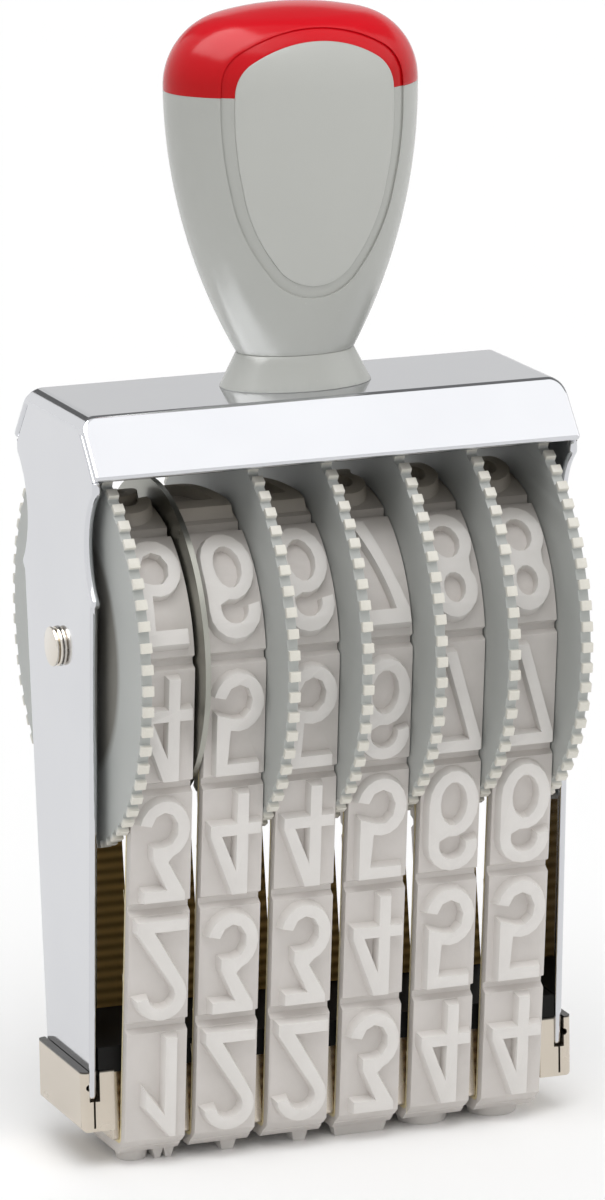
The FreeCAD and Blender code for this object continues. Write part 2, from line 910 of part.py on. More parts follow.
def handle_pieces():
    """Grip body, cap, and the panels let into the front and back."""
    grip = grip_form()
    pockets = []
    panels = []
    for side in (-1, 1):
        border_floor = grip.translated(V(0, -side * panel_recess, 0))
        plate_floor = grip.translated(V(0, -side * (panel_recess + panel_thickness), 0))
        plate_face = grip.translated(V(0, -side * panel_recess / 2, 0))
        inner_prism = panel_prism(0, side)
        pockets.append(panel_prism(panel_border, side).cut(border_floor))
        pockets.append(inner_prism.cut(plate_floor))
        panels.append(inner_prism.common(plate_face).cut(plate_floor))
    shaped = grip.cut(pockets)
    reach = grip_width
    above = box(V(-reach, -reach, cap_z), V(reach, reach, grip_top + overrun))
    below = box(V(-reach, -reach, collar_top - overrun), V(reach, reach, cap_z))
    tenon = flatten(Part.makeCylinder(tenon_radius, tenon_height, V(0, 0, cap_z)))
    socket_radius = tenon_radius + cap_seat_gap
    socket_height = tenon_height + cap_seat_gap
    socket = flatten(Part.makeCylinder(socket_radius, socket_height, V(0, 0, cap_z)))
    cap = shaped.common(above).cut(socket)
    body = shaped.common(below).fuse(tenon)
    return body.removeSplitter(), cap, panels


def main():
    os.makedirs("parts", exist_ok=True)
    save("housing", housing())
    save("axle", axle())
    left_face = -inner_x + end_gap
    for side, name in ((-1, "left"), (1, "right")):
        near = outer_x
        far = outer_x + axle_ring_thickness
        start, end = sorted((side * near, side * far))
        save("axle_ring_" + name, collar_ring(start, end, axle_head_radius, 0))
        start, end = sorted((side * inner_x, side * (inner_x - washer_thickness)))
        save("spacer_washer_" + name, collar_ring(start, end, boss_radius, running_gap))
        save("end_clip_" + name, end_clip(side))

    first_places = (0, 1, 1, 2, 3, 3)
    rubbers = {place: band_rubber(place, 0) for place in set(first_places)}
    bay_start = left_face + disc_thickness
    for number, first_place in enumerate(first_places, 1):
        centre_x = bay_start + bay_width / 2
        save("band_fabric_" + str(number), band_fabric(centre_x))
        save("band_rubber_" + str(number), rubbers[first_place].translated(V(centre_x, 0, 0)))
        if number == 1:
            save("number_wheel_1", wheel(bay_start, 1, False))
            separator_x = bay_start + bay_width + separator_play
            bay_start += bay_width + separator_space
        else:
            disc_x = bay_start + bay_width
            save("number_wheel_" + str(number), wheel(disc_x, -1, True))
            bay_start = disc_x + disc_thickness
    separator_radius = loop_radius + band_thickness + numeral_relief + separator_overhang
    separator_end = separator_x + separator_thickness
    separator = collar_ring(separator_x, separator_end, separator_radius, running_gap)
    save("separator_disc", separator)

    save("bridge_channel", bridge_channel())
    save("bridge_core", bridge_core())

    body, cap, panels = handle_pieces()
    screw_hole = Part.makeCylinder(
        screw_radius, screw_length, V(0, 0, housing_top - sheet)
    )
    save("handle_collar", oval_cone().cut(screw_hole))
    save("handle_body", body.cut(screw_hole))
    save("handle_cap", cap)
    save("handle_panel_front", panels[0])
    save("handle_panel_back", panels[1])
    head_top = housing_top - sheet - screw_washer_thickness
    shank = Part.makeCylinder(screw_radius, screw_length + screw_washer_thickness, V(0, 0, head_top))
    head = Part.makeCylinder(
        screw_head_radius, screw_head_height, V(0, 0, head_top - screw_head_height)
    )
    save("handle_screw", shank.fuse(head).removeSplitter())
    washer = Part.makeCylinder(screw_washer_radius, screw_washer_thickness, V(0, 0, head_top))
    save("handle_washer", washer.cut(shank))


main()
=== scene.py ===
# %% [markdown]
# # A six-band number stamp
# This lesson dresses a hand stamp that was built as solids: a folded chrome housing, six toothed
# thumb wheels, six rubber number bands, and an oval palm grip with a red cap. The solids arrive as
# a fixed frame. We give them finishes, and put finer pieces over the ones whose edges need care.

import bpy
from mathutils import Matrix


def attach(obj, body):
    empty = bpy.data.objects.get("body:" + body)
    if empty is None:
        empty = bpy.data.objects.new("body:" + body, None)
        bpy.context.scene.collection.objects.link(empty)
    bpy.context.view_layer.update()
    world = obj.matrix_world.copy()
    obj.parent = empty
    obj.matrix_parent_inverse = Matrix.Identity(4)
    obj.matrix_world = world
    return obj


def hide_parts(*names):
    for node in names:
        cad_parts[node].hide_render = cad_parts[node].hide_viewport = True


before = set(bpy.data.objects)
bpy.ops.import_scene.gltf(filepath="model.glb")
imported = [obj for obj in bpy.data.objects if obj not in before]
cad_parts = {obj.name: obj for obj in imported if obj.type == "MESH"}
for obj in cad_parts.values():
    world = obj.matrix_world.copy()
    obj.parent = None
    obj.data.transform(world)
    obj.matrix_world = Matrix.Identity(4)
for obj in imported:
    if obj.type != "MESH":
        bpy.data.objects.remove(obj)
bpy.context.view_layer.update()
print("pieces in the frame:", len(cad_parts))

# %% Tools that the lesson uses
import math
import random

import bmesh
import bpy
from mathutils import Matrix, Vector

MM = 0.001
WHITE = (1.0, 1.0, 1.0, 1.0)
BLACK = (0.0, 0.0, 0.0, 1.0)
AXLE_HEIGHT = 76.1 * MM
NUMBERS = range(1, 7)
SIDES = ("left", "right")
print("the axle lies", round(AXLE_HEIGHT / MM, 1), "mm over the paper")

# %% [markdown]
# ## Colours and shader sums
# A colour picked on a screen is brighter in its numbers than the light that it stands for, so a
# helper turns it into the shader's linear scale. Shader maths gets long when every node is made by
# hand. A small class that stands for one output, and knows how to add and multiply, lets us write
# a pattern as a plain sum. A second class holds a node tree and has one method for any other node.
# A third, for materials, adds the patterns that come up again and again.

# %% Colour helper
def tint(red, green, blue):
    """A colour of the screen, from 0 to 255, as linear light with full alpha."""
    def linear(value):
        share = value / 255
        return share / 12.92 if share <= 0.04045 else ((share + 0.055) / 1.055) ** 2.4
    return (linear(red), linear(green), linear(blue), 1.0)


print("a screen grey of 188 stands for", round(tint(188, 188, 188)[0], 3), "of full light")

# %% A socket that can be used in sums
class Wire:
    """One output of a shader node."""

    def __init__(self, owner, socket):
        self.owner = owner
        self.socket = socket

    def maths(self, operation, first, second=0.0):
        """Add one Math node and return its output."""
        return self.owner.node("ShaderNodeMath", {"operation": operation}, {0: first, 1: second})

    def __add__(self, other):
        return self.maths("ADD", self, other)

    def __sub__(self, other):
        return self.maths("SUBTRACT", self, other)

    def __rsub__(self, other):
        return self.maths("SUBTRACT", other, self)

    def __mul__(self, other):
        return self.maths("MULTIPLY", self, other)

    def __pow__(self, other):
        return self.maths("POWER", self, other)

    __radd__ = __add__
    __rmul__ = __mul__

    def sine(self):
        """A wave between -1 and 1."""
        return self.maths("SINE", self)

    def or_more(self, other):
        """The greater of two values."""
        return self.maths("MAXIMUM", self, other)


print("a wire can be used in sums from both sides, as in 1 - mask")

# %% A shader that is built one node at a time
class Shader:
    """The node tree of a material or a world, and the method that adds nodes to it."""

    def __init__(self, owner, main):
        owner.use_nodes = True
        self.tree = owner.node_tree
        self.shader = self.tree.nodes[main]

    def node(self, kind, settings=None, sockets=None, output=0):
        """Add one node: its settings first, then what its sockets hold or are linked to."""
        made = self.tree.nodes.new(kind)
        for key, value in (settings or {}).items():
            setattr(made, key, value)
        for key, value in (sockets or {}).items():
            self.feed(made.inputs[key], value)
        return Wire(self, made.outputs[output])

    def feed(self, socket, value):
        """Link a wire to a socket, or set the socket to a plain value."""
        if isinstance(value, Wire):
            self.tree.links.new(value.socket, socket)
        else:
            socket.default_value = value

    def wear(self, **values):
        """Set or link sockets of the main shader, each named in lower case."""
        for key, value in values.items():
            self.feed(self.shader.inputs[key.replace("_", " ").title()], value)


print("what a shader does:", ", ".join(name for name in vars(Shader) if name[0] != "_"))

# %% A material and the patterns it can hold
class Finish(Shader):
    """A material, with short names for the patterns and mixes that the stamp needs."""

    def __init__(self, name, **constants):
        self.material = bpy.data.materials.new(name)
        super().__init__(self.material, "Principled BSDF")
        self.wear(**constants)

    def gloss(self, level):
        """How strongly a plastic reflects; 0.5 is usual."""
        self.shader.inputs["Specular IOR Level"].default_value = level

    def place(self):
        """Where a point is on its own piece, so that a pattern turns with it."""
        return self.node("ShaderNodeTexCoord", output="Object")

    def noise(self, scale, detail=3.0, roughness=0.5, at=None):
        """A cloudy pattern from 0 to 1; the scale says how many clouds lie along a metre."""
        sockets = {
            "Vector": at or self.place(), "Scale": scale, "Detail": detail, "Roughness": roughness,
        }
        return self.node("ShaderNodeTexNoise", None, sockets)

    def between(self, wire, low, high):
        """A mask that is 0 at the first value of the wire and 1 at the second."""
        sockets = {"Value": wire, "From Min": low, "From Max": high}
        return self.node("ShaderNodeMapRange", {"clamp": True}, sockets)

    def blend(self, factor, first, second):
        """The first colour where the factor is 0, the second where it is 1."""
        # The Mix node has sockets of one name for each kind of value, so these go by number.
        sockets = {0: factor, 6: first, 7: second}
        return self.node("ShaderNodeMix", {"data_type": "RGBA"}, sockets, output=2)

    def bump(self, height, distance, strength):
        """A normal that stands for a rise of a given distance."""
        sockets = {"Height": height, "Distance": distance, "Strength": strength}
        return self.node("ShaderNodeBump", None, sockets)

    def axes(self, vector):
        """The three parts of a vector."""
        first = self.node("ShaderNodeSeparateXYZ", None, {"Vector": vector})
        return [Wire(self, output) for output in first.socket.node.outputs]


def ranged(wire, low, high):
    """Turn a pattern from 0 to 1 into one from low to high."""
    return low + wire * (high - low)


def dress(finish, *names):
    """Give frame pieces a finish by filling their slots."""
    for name in names:
        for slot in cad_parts[name].material_slots:
            slot.material = finish.material
    print(finish.material.name, "on", len(names), "pieces")


print("a finish can dress", len(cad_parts), "pieces")

# %% [markdown]
# ## The chromed housing
# The housing is one sheet, folded and plated. Plating copies the room around it, so most of what
# one sees is reflection. A perfectly even mirror looks like a drawing: real plating has a slight
# waviness from the press, and a haze that varies. Both are weak noises here: the waviness bends the
# normal, and the haze changes roughness and colour. The cheap way would be one number for each, and
# it would look dead.

# %% Chrome
chrome = Finish("chrome", metallic=1.0)
haze = chrome.noise(scale=60.0, detail=4.0)
wave = chrome.noise(scale=18.0, detail=2.0)
chrome.wear(
    base_color=chrome.blend(haze, tint(204, 205, 209), tint(212, 213, 216)),
    roughness=ranged(haze, 0.07, 0.14),
    normal=chrome.bump(wave, distance=0.25 * MM, strength=0.30),
)
dress(chrome, "housing")

# %% [markdown]
# ## Nickel and zinc
# The axle, the end clips and the channel that the bands turn over are nickel plated, which is
# warmer and duller than chrome, and the axle is polished. Drawn sheet keeps faint lines along its
# length. A noise that is squeezed along one axis gives such lines. A thin band just under the
# clips' top edges is dark. The separator disc and the screw are plain zinc.

# %% Nickel
CLIP_TOP = 14.9 * MM
LINE_SQUEEZE = (60.0, 900.0, 900.0)
EDGE_START = 0.35 * MM
EDGE_FULL = 0.15 * MM


def lined_metal(name, dark, light, low, high, edge_height=None):
    """A plated metal with faint drawing lines, and a dark band under its top edge if that height is
    given.
    """
    metal = Finish(name, metallic=1.0)
    squeeze = metal.node(
        "ShaderNodeVectorMath", {"operation": "MULTIPLY"}, {0: metal.place(), 1: LINE_SQUEEZE}
    )
    lines = metal.noise(scale=1.0, detail=2.0, at=squeeze)
    cloud = metal.noise(scale=120.0)
    colour = metal.blend(cloud, dark, light)
    # A thin band just under the top edge is made dark.
    if edge_height:
        height = metal.axes(metal.place())[2]
        dark_top_band = metal.between(height, edge_height - EDGE_START, edge_height - EDGE_FULL)
        colour = metal.blend(dark_top_band, colour, tint(64, 62, 58))
    metal.wear(
        base_color=colour,
        roughness=ranged(cloud, low, high),
        normal=metal.bump(lines, distance=0.02 * MM, strength=0.35),
    )
    return metal


nickel = lined_metal("nickel", tint(198, 188, 174), tint(217, 208, 195), low=0.16, high=0.34)
dress(nickel, "spacer_washer_left", "spacer_washer_right", "bridge_channel")
clip_nickel = lined_metal(
    "clip_nickel", tint(196, 186, 172), tint(213, 204, 191), low=0.16, high=0.34,
    edge_height=CLIP_TOP,
)
dress(clip_nickel, "end_clip_left", "end_clip_right")
polished = lined_metal(
    "polished_nickel", tint(206, 200, 190), tint(226, 220, 210), low=0.08, high=0.16
)
dress(polished, "axle", "axle_ring_left", "axle_ring_right")
zinc = lined_metal("zinc", tint(140, 140, 132), tint(176, 176, 168), low=0.22, high=0.42)
dress(zinc, "separator_disc", "handle_screw", "handle_washer")

# %% [markdown]
# ## The black bridge core
# The block over the channel is black moulded plastic. Its surface has a fine spark grain, which
# a noise of about four clouds in a millimetre gives. It hardly shines.

# %% Black plastic
core_black = Finish("core_black", metallic=0.0)
grain = core_black.noise(scale=4200.0, detail=2.0)
core_black.wear(
    base_color=core_black.blend(grain, tint(5, 4, 3), tint(13, 12, 10)),
    roughness=ranged(grain, 0.45, 0.65),
    normal=core_black.bump(grain, distance=0.03 * MM, strength=0.6),
)
core_black.gloss(0.2)
dress(core_black, "bridge_core")

# %% [markdown]
# ## The number wheels
# Each wheel is one moulding of grey plastic. Thumbs polish the tips of its teeth, and ink and hand
# grease yellow them, so the tips are creamier and a little smoother than the flat of the disc;
# their paler colour is partly a painted highlight too. The middle of each wheel, round the axle, is
# painted darker: painted shade inside the band loops. How far a point lies from the axle tells the
# three apart, and it stays the same when the wheel turns.

# %% Wheel plastic
DISC_RADIUS = 29.6 * MM
TOOTH_FOOT = DISC_RADIUS - 0.9 * MM
TOOTH_TIP = DISC_RADIUS - 0.3 * MM
HUB_SHADE_START = 0.66 * DISC_RADIUS
HUB_SHADE_FULL = 0.60 * DISC_RADIUS
wheel_grey = Finish("wheel_grey", metallic=0.0)
_, depth, height = wheel_grey.axes(wheel_grey.place())
rise = height - AXLE_HEIGHT
from_axle = (depth * depth + rise * rise) ** 0.5
tip = wheel_grey.between(from_axle, TOOTH_FOOT, TOOTH_TIP)
# Painted shade: nearer the axle the disc darkens to a dull grey.
hub_shade = wheel_grey.between(from_axle, HUB_SHADE_START, HUB_SHADE_FULL)
speck = wheel_grey.noise(scale=2600.0)
cloud = wheel_grey.noise(scale=70.0)
unshaded_flat = wheel_grey.blend(cloud, tint(170, 173, 170), tint(181, 183, 180))
flat_colour = wheel_grey.blend(hub_shade, unshaded_flat, tint(124, 122, 115))
# The tips' paler cream is partly grease yellowing, partly a painted highlight.
tip_colour = wheel_grey.blend(speck, tint(212, 209, 198), tint(220, 217, 208))
wheel_grey.wear(
    base_color=wheel_grey.blend(tip, flat_colour, tip_colour),
    roughness=ranged(tip, 0.52, 0.40) + ranged(speck, 0.0, 0.08),
    normal=wheel_grey.bump(speck, distance=0.02 * MM, strength=0.4),
)
dress(wheel_grey, *[f"number_wheel_{number}" for number in NUMBERS])

# %% [markdown]
# ## The palm grip
# The grip and its collar are satin grey plastic, the cap is glossy red, and the panels let into the
# front and back are matt and a shade paler than the grip. All three share one way of making: a
# broad cloud for uneven colour, and a fine grain for the surface. The top of the cap is painted a
# brighter red than its sides: a painted highlight, where the light from above falls on it.

# %% Grip plastics
# Painted highlight: the top of the cap is painted a brighter red than its sides.
HIGHLIGHT_START = 157.0 * MM
HIGHLIGHT_FULL = 164.5 * MM


def moulded(name, dark, light, low, high, grain_depth, lit_top=None):
    """A moulded plastic with a soft colour cloud, a fine grain and, if given, a brighter top, which
    is a painted highlight.
    """
    plastic = Finish(name, metallic=0.0)
    cloud = plastic.noise(scale=45.0, detail=2.0)
    grain = plastic.noise(scale=3800.0, detail=2.0)
    colour = plastic.blend(cloud, dark, light)
    if lit_top:
        height = plastic.axes(plastic.place())[2]
        top = plastic.between(height, HIGHLIGHT_START, HIGHLIGHT_FULL)
        colour = plastic.blend(top, colour, plastic.blend(cloud, *lit_top))
    plastic.wear(
        base_color=colour,
        roughness=ranged(grain, low, high),
        normal=plastic.bump(grain, distance=grain_depth, strength=0.5),
    )
    return plastic


grip_grey = moulded(
    "grip_grey", tint(165, 166, 161), tint(174, 175, 170), low=0.20, high=0.30,
    grain_depth=0.008 * MM,
)
grip_grey.gloss(0.6)
dress(grip_grey, "handle_body", "handle_collar")
panel_grey = moulded(
    "panel_grey", tint(177, 178, 173), tint(184, 185, 180), low=0.40, high=0.52,
    grain_depth=0.02 * MM,
)
dress(panel_grey, "handle_panel_front", "handle_panel_back")
# The cap takes the brighter red at its top: a painted highlight.
cap_red = moulded(
    "cap_red", tint(176, 10, 16), tint(184, 14, 20), low=0.14, high=0.22,
    grain_depth=0.006 * MM, lit_top=(tint(212, 12, 28), tint(222, 18, 34)),
)
cap_red.gloss(0.16)
dress(cap_red, "handle_cap")

# %% [markdown]
# ## The woven backing
# Each band is rubber bonded to a woven tape. From outside only the tape's cut edge shows, as a thin
# cream line. Inside the loop one sees its ribs, painted a dark olive brown: partly the tape's own
# colour, partly painted shade inside the loop. The side that a face looks to tells the two apart,
# and a wave along the height makes the ribs.

# %% Backing tape
RIB_PITCH = 1.6 * MM
tape = Finish("backing_tape", metallic=0.0)
tape_height = tape.axes(tape.place())[2]
facing = tape.axes(tape.node("ShaderNodeTexCoord", output="Normal"))[0]
edge = tape.between(facing * facing, 0.3, 0.6)
ribs = (tape_height * (math.tau / RIB_PITCH)).sine()
fuzz = tape.noise(scale=2400.0)
cream = tape.blend(fuzz, tint(206, 190, 140), tint(240, 230, 196))
# The inside of the loop is painted olive brown: partly the tape's colour, partly painted shade.
inside = tape.blend(tape.between(ribs, -1.0, 1.0), tint(142, 113, 54), tint(198, 164, 98))
tape.wear(
    base_color=tape.blend(edge, inside, cream),
    roughness=ranged(fuzz, 0.8, 0.95),
    normal=tape.bump(ribs * 0.5 + fuzz, distance=0.08 * MM, strength=0.6),
)
dress(tape, *[f"band_fabric_{number}" for number in NUMBERS])

# %% Finish of the loose threads
thread_finish = Finish("loose_thread", metallic=0.0)
twist = thread_finish.noise(scale=900.0, detail=2.0)
thread_finish.wear(
    base_color=thread_finish.blend(twist, tint(206, 188, 140), tint(244, 238, 214)),
    roughness=ranged(twist, 0.7, 0.9),
)
print("finish made:", thread_finish.material.name)

# %% [markdown]
# ## The rubber bands
# Moulded rubber never has a razor edge: every corner of a numeral and of its block is rounded by
# a tenth of a millimetre or two, and that is where the light catches. The solid has sharp corners,
# so a finer piece stands in for it. It starts as a copy of the solid's mesh, is cleaned of its
# spare edges, and gets a bevel on every corner that is sharper than a limit. Each point also
# keeps how high it stands over the band, which the finish uses to paint the numerals paler than
# their blocks: a painted highlight on the faces that the light reaches. The tops of the loops,
# under the housing, are painted a dark olive brown: painted shade where the housing hides them.

# %% Rubber finish
# Painted shade: the tops of the loops, under the housing, darken to an olive brown.
TOP_SHADE_START = AXLE_HEIGHT + 15.0 * MM
TOP_SHADE_FULL = AXLE_HEIGHT + 23.0 * MM
rubber = Finish("band_rubber", metallic=0.0)
mottle = rubber.noise(scale=260.0, detail=4.0, roughness=0.6)
pores = rubber.noise(scale=3200.0, detail=2.0)
raised = rubber.node("ShaderNodeAttribute", {"attribute_name": "raised"}, output="Fac")
block_colour = rubber.blend(mottle, tint(199, 194, 189), tint(211, 206, 202))
# The numerals are painted paler than their blocks: a painted highlight.
lit_numeral_colour = rubber.blend(mottle, tint(213, 209, 205), tint(223, 220, 216))
loop_height = rubber.axes(rubber.place())[2]
painted_shade = rubber.between(loop_height, TOP_SHADE_START, TOP_SHADE_FULL)
colour_before_shade = rubber.blend(raised, block_colour, lit_numeral_colour)
rubber.wear(
    base_color=rubber.blend(painted_shade, colour_before_shade, tint(122, 108, 82)),
    roughness=ranged(mottle, 0.58, 0.78),
    normal=rubber.bump(pores + mottle, distance=0.03 * MM, strength=0.35),
)
# Where the painted shade on the loops begins.
print("mist of ink from", round(TOP_SHADE_START / MM, 1), "mm up")

# %% Shape of the loop that a band follows
HUB_PATH_RADIUS = 17.9 * MM
CORNER_RADIUS = 0.8 * MM
CORNER_DEPTH = 8.7 * MM
CORNER_HEIGHT = 4.6 * MM
BLOCK_FACE = 2.2 * MM
NUMERAL_FACE = 3.8 * MM
corner_drop = AXLE_HEIGHT - CORNER_HEIGHT
run_angle = math.asin(
    (HUB_PATH_RADIUS - CORNER_RADIUS) / math.hypot(CORNER_DEPTH, corner_drop)
) - math.atan2(CORNER_DEPTH, corner_drop)
run_normal = Vector((0, -math.cos(run_angle), -math.sin(run_angle)))
run_along = Vector((0, run_normal.z, -run_normal.y))
print("the runs lean by", round(math.degrees(run_angle), 2), "degrees")


def over_band(point):
    """How far a point stands out from the inside of its band."""
    folded = Vector((0, -abs(point.y), point.z))
    from_hub = folded - Vector((0, 0, AXLE_HEIGHT))
    if from_hub.dot(run_along) > 0:
        return from_hub.length - HUB_PATH_RADIUS
    from_corner = folded - Vector((0, -CORNER_DEPTH, CORNER_HEIGHT))
    below = CORNER_HEIGHT - CORNER_RADIUS - folded.z
    return max(from_corner.dot(run_normal) - CORNER_RADIUS, below)


# %% A softened copy of a piece
WELD_DISTANCE = 0.002 * MM


def soft_copy(name, new_name, width, segments, limit, flat, even, clamp):
    """Copy a frame piece's mesh, join faces within some degrees, and round its sharp corners."""
    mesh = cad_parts[name].data.copy()
    work = bmesh.new()
    work.from_mesh(mesh)
    bmesh.ops.remove_doubles(work, verts=work.verts, dist=WELD_DISTANCE)
    bmesh.ops.dissolve_limit(
        work, angle_limit=math.radians(flat), verts=work.verts, edges=work.edges
    )
    work.to_mesh(mesh)
    work.free()
    piece = bpy.data.objects.new(new_name, mesh)
    bpy.context.scene.collection.objects.link(piece)
    mesh.shade_smooth()
    bevel = piece.modifiers.new("soft_edges", "BEVEL")
    bevel.width = width
    bevel.segments = segments
    bevel.limit_method = "ANGLE"
    bevel.angle_limit = math.radians(limit)
    bevel.harden_normals = not even
    bevel.use_clamp_overlap = clamp
    if even:
        piece.modifiers.new("even_shading", "WEIGHTED_NORMAL")
    return piece


def apply_modifiers(piece):
    """Turn a piece and its modifiers into one plain mesh."""
    graph = bpy.context.evaluated_depsgraph_get()
    mesh = bpy.data.meshes.new_from_object(piece.evaluated_get(graph))
    piece.modifiers.clear()
    piece.data = mesh
    return mesh


def stand_in(
    name, new_name, finish, width, body="frame", segments=3, limit=28, flat=0.2,
    even=False, clamp=True,
):
    """Show a softened copy in place of a frame piece."""
    piece = soft_copy(name, new_name, width, segments, limit, flat, even, clamp)
    mesh = apply_modifiers(piece)
    mesh.materials.clear()
    mesh.materials.append(finish.material)
    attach(piece, body)
    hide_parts(name)
    print(new_name, "has", len(mesh.polygons), "faces")
    return piece


# %% The six rubber loops
for number in NUMBERS:
    loop = stand_in(
        f"band_rubber_{number}", f"rubber_{number}", rubber, width=0.16 * MM,
        segments=2, flat=2.0,
    )
    heights = loop.data.attributes.new("raised", "FLOAT", "POINT")
    for vertex in loop.data.vertices:
        share = (over_band(vertex.co) - BLOCK_FACE) / (NUMERAL_FACE - BLOCK_FACE)
        heights.data[vertex.index].value = min(max(share, 0.0), 1.0)

# %% [markdown]
# ## Softer wheels, sheets and plastics
# The same treatment suits every other moulding and sheet. Thumb teeth and the folds of the housing
# are rounded the most, and the parts of the grip meet in small shadow lines. On folded sheet the
# shading is evened as well, so that a flat face stays flat and a fold takes the whole turn: that is
# where the dark lines of a plated fold come from. A wheel's copy rides on its own wheel, so it
# still turns.

# %% Stand-ins for the other pieces
for number in NUMBERS:
    wheel = f"wheel_{number}"
    stand_in(
        f"number_wheel_{number}", wheel, wheel_grey, width=0.22 * MM,
        body=wheel, segments=2, flat=2.0,
    )
stand_in(
    "housing", "folded_housing", chrome, width=0.58 * MM, segments=4, limit=24,
    flat=2.0, even=True, clamp=False,
)
for side in SIDES:
    stand_in(
        f"end_clip_{side}", f"soft_clip_{side}", clip_nickel, width=0.22 * MM,
        flat=2.0, even=True,
    )
    stand_in(f"axle_ring_{side}", f"soft_ring_{side}", polished, width=0.18 * MM)
stand_in("axle", "soft_axle", polished, width=0.22 * MM)
stand_in("handle_body", "soft_grip", grip_grey, width=0.22 * MM, limit=12)
stand_in("handle_cap", "soft_cap", cap_red, width=0.22 * MM, limit=12)
stand_in("handle_collar", "soft_collar", grip_grey, width=0.25 * MM)
for face in ("front", "back"):
    stand_in(
        f"handle_panel_{face}", f"soft_panel_{face}", panel_grey,
        width=0.15 * MM,
    )

# %% [markdown]
# ## Loose threads
# Where the tape is cut, single threads work loose and stand out along the edges of the bands. Each
# one is a thin bent tube with its own length, lean and curl. A fixed seed keeps them the same on
# every run. The bands' centres, the reach to an edge and the lengths are in millimetres.

# %% Threads along the tape's edges
THREAD_RADIUS = 0.035 * MM
THREADS_PER_EDGE = 26
BAND_CENTRES = [-27.8, -17.0, -5.8, 5.4, 16.6, 27.8]
EDGE_REACH = 4.55
START_SHARE = (0.02, 0.95)
LEAN_OUT = (0.02, 0.10)
LEAN_DEPTH = (-0.35, 0.1)
LEAN_SPREAD = 0.9
CURL_OUT = (-0.05, 0.05)
CURL_DEPTH = (-0.1, 0.1)
CURL_SPREAD = 0.5
THREAD_LENGTH = (0.5, 1.9)
TAPE_MIDDLE = 0.25 * MM
PATH_STEPS = (0, 0.33, 0.66, 1)
TUBE_SIDES = 3
SIDEWAYS = Vector((0.3, 0.9, 0.2))
draw = random.Random(7)
run_start = Vector((0, -CORNER_DEPTH, CORNER_HEIGHT)) + run_normal * (CORNER_RADIUS + TAPE_MIDDLE)
run_length = math.sqrt(
    CORNER_DEPTH ** 2 + corner_drop ** 2 - (HUB_PATH_RADIUS - CORNER_RADIUS) ** 2
)


def thread_tube(points, radius):
    """Corner points and faces of a thin tube along some points."""
    corners, faces = [], []
    for index, point in enumerate(points):
        before = points[max(index - 1, 0)]
        after = points[min(index + 1, len(points) - 1)]
        along = (after - before).normalized()
        side = along.cross(SIDEWAYS).normalized()
        other = along.cross(side)
        for turn_index in range(TUBE_SIDES):
            angle = turn_index * math.tau / TUBE_SIDES
            corners.append(point + (side * math.cos(angle) + other * math.sin(angle)) * radius)
    for index in range(len(points) - 1):
        for turn_index in range(TUBE_SIDES):
            a = index * TUBE_SIDES + turn_index
            b = index * TUBE_SIDES + (turn_index + 1) % TUBE_SIDES
            faces.append((a, b, b + TUBE_SIDES, a + TUBE_SIDES))
    return corners, faces


def thread_path(centre, side):
    """Points along one thread that leaves the front run of a band at one of its edges."""
    start = run_start + run_along * (run_length * draw.uniform(*START_SHARE))
    start.x = (centre + side * EDGE_REACH) * MM
    lean = Vector((
        side * draw.uniform(*LEAN_OUT), draw.uniform(*LEAN_DEPTH), draw.gauss(0, LEAN_SPREAD)
    ))
    curl = Vector((
        side * draw.uniform(*CURL_OUT), draw.uniform(*CURL_DEPTH), draw.gauss(0, CURL_SPREAD)
    ))
    length = draw.uniform(*THREAD_LENGTH) * MM
    return [start + lean * (length * t) + curl * (length * t * t) for t in PATH_STEPS]


for number, centre in enumerate(BAND_CENTRES, 1):
    all_corners, all_faces = [], []
    for side in (-1, 1):
        for _ in range(THREADS_PER_EDGE):
            corners, faces = thread_tube(thread_path(centre, side), THREAD_RADIUS)
            base = len(all_corners)
            all_corners += corners
            all_faces += [[base + corner for corner in face] for face in faces]
    thread_mesh = bpy.data.meshes.new(f"threads_{number}")
    thread_mesh.from_pydata(all_corners, [], all_faces)
    threads = bpy.data.objects.new(f"threads_{number}", thread_mesh)
    bpy.context.scene.collection.objects.link(threads)
    thread_mesh.materials.append(thread_finish.material)
    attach(threads, "frame")
print("threads:", 2 * len(BAND_CENTRES) * THREADS_PER_EDGE)

# %% [markdown]
# ## Floor, light and camera
# The stamp stands on white paper under a soft sky. The world is one even white, at about two thirds
# of its strength for the surfaces that it lights, and exactly white where the camera or a mirror
# looks straight at it. A broad lamp over the front gives the soft shadow that grounds the stamp,
# and a weaker one from the right lights the edge of the grip.

# %% World
SKY = 0.65
world = bpy.data.worlds.new("studio")
bpy.context.scene.world = world
sky = Shader(world, "Background")
seen_by = [
    sky.node("ShaderNodeLightPath", output=ray)
    for ray in ("Is Camera Ray", "Is Glossy Ray", "Is Transmission Ray")
]
looked_at = seen_by[0].or_more(seen_by[1]).or_more(seen_by[2])
sky.wear(color=WHITE, strength=ranged(looked_at, SKY, 1.0))
print("the sky lights surfaces at", SKY)

# %% Floor
FLOOR_SIZE = 60.0
FLOOR_DROP = 0.02 * MM


def flat_sheet(name, width, height, finish):
    """A rectangle round the origin, in its own XY plane."""
    right, top = width / 2, height / 2
    mesh = bpy.data.meshes.new(name)
    mesh.from_pydata(
        [(-right, -top, 0), (right, -top, 0), (right, top, 0), (-right, top, 0)],
        [], [(0, 1, 2, 3)],
    )
    mesh.materials.append(finish.material)
    sheet = bpy.data.objects.new(name, mesh)
    bpy.context.scene.collection.objects.link(sheet)
    return sheet


paper_white = Finish("paper_white", roughness=1.0, base_color=WHITE)
paper_white.gloss(0.0)
paper = flat_sheet("paper", FLOOR_SIZE, FLOOR_SIZE, paper_white)
paper.location.z = -FLOOR_DROP
print("paper is", FLOOR_SIZE, "m wide")

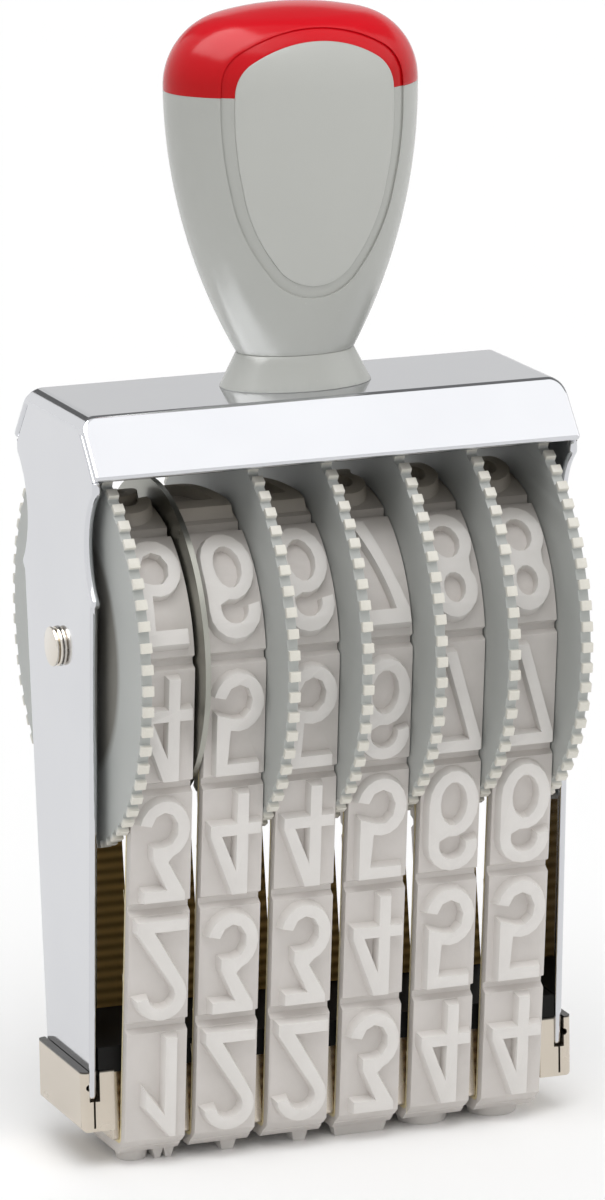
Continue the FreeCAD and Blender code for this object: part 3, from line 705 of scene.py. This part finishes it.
# %% Two soft windows
def window(name, energy, spread, direction):
    """A far, broad lamp that shines along a direction."""
    lamp = bpy.data.lights.new(name, "SUN")
    lamp.energy = energy
    lamp.angle = math.radians(spread)
    holder = bpy.data.objects.new(name, lamp)
    holder.rotation_mode = "QUATERNION"
    holder.rotation_quaternion = Vector(direction).to_track_quat("-Z", "Y")
    bpy.context.scene.collection.objects.link(holder)
    print(name, "spreads over", spread, "degrees")


window("front_window", energy=1.00, spread=38, direction=(0.14, 0.40, -0.86))
window("right_window", energy=0.42, spread=50, direction=(-0.78, 0.28, -0.50))

# %% [markdown]
# ## Cards for the mirror to see
# A mirror under an even sky shows nothing but even white. Photographers hang cards around shiny
# things for that reason. These cards are seen by reflections alone: a bright one over the front
# that makes the sloped apron gleam, a dark strip overhead that draws a line along the front fold, a
# small dark one behind that does so for the left fold, a grey one behind that calms the flat top,
# and a bright window on the left that shines in the cap.

# %% Reflection cards
CARD_DISTANCE = 2.0
CARD_CENTRE = Vector((0, 0, 0.1))


def card(name, direction, width, height, level):
    """A plain glowing sheet that only reflections see, facing the stamp."""
    glow = Finish(name + "_glow", roughness=1.0, base_color=BLACK)
    glow.gloss(0.0)
    glow.wear(emission_color=WHITE, emission_strength=level)
    sheet = flat_sheet(name, width, height, glow)
    aim = Vector(direction).normalized()
    sheet.location = CARD_CENTRE + aim * CARD_DISTANCE
    sheet.rotation_mode = "QUATERNION"
    sheet.rotation_quaternion = aim.to_track_quat("Z", "Y")
    sheet.visible_camera = False
    sheet.visible_diffuse = False
    sheet.visible_shadow = False
    sheet.visible_transmission = False
    print(name, "glows at", level)


card("apron_card", (0.35, -0.42, 0.87), width=2.4, height=1.5, level=1.45)
card("overhead_strip", (0.34, 0.54, 0.77), width=3.4, height=1.9, level=0.22)
card("rear_card", (0.45, 0.87, 0.22), width=1.9, height=0.9, level=0.76)
card("fold_card", (-0.05, 0.915, 0.38), width=0.5, height=0.6, level=0.16)
card("crown_window", (-0.48, 0.01, 0.88), width=1.9, height=1.5, level=8.0)

# %% Camera
LENS = 214.19
DISTANCE = 1040.5 * MM
TARGET = Vector((0.600, 0, 79.387)) * MM
YAW = 0.35132
PITCH = 0.22225
ROLL = -0.01537
camera_data = bpy.data.cameras.new("camera")
camera_data.lens = LENS
camera_data.clip_start = 0.01
camera = bpy.data.objects.new("camera", camera_data)
bpy.context.scene.collection.objects.link(camera)
bpy.context.scene.camera = camera
ahead = Vector((math.sin(YAW) * math.cos(PITCH), math.cos(YAW) * math.cos(PITCH), -math.sin(PITCH)))
right = Vector((math.cos(YAW), -math.sin(YAW), 0))
up = right.cross(ahead)
camera_right = right * math.cos(ROLL) + up * math.sin(ROLL)
camera_up = up * math.cos(ROLL) - right * math.sin(ROLL)
turn = Matrix((camera_right, camera_up, -ahead)).transposed()
camera.matrix_world = Matrix.Translation(TARGET - ahead * DISTANCE) @ turn.to_4x4()
bpy.context.scene.view_settings.view_transform = "Standard"
print("the camera stands", round(DISTANCE, 3), "m away")

# %% [markdown]
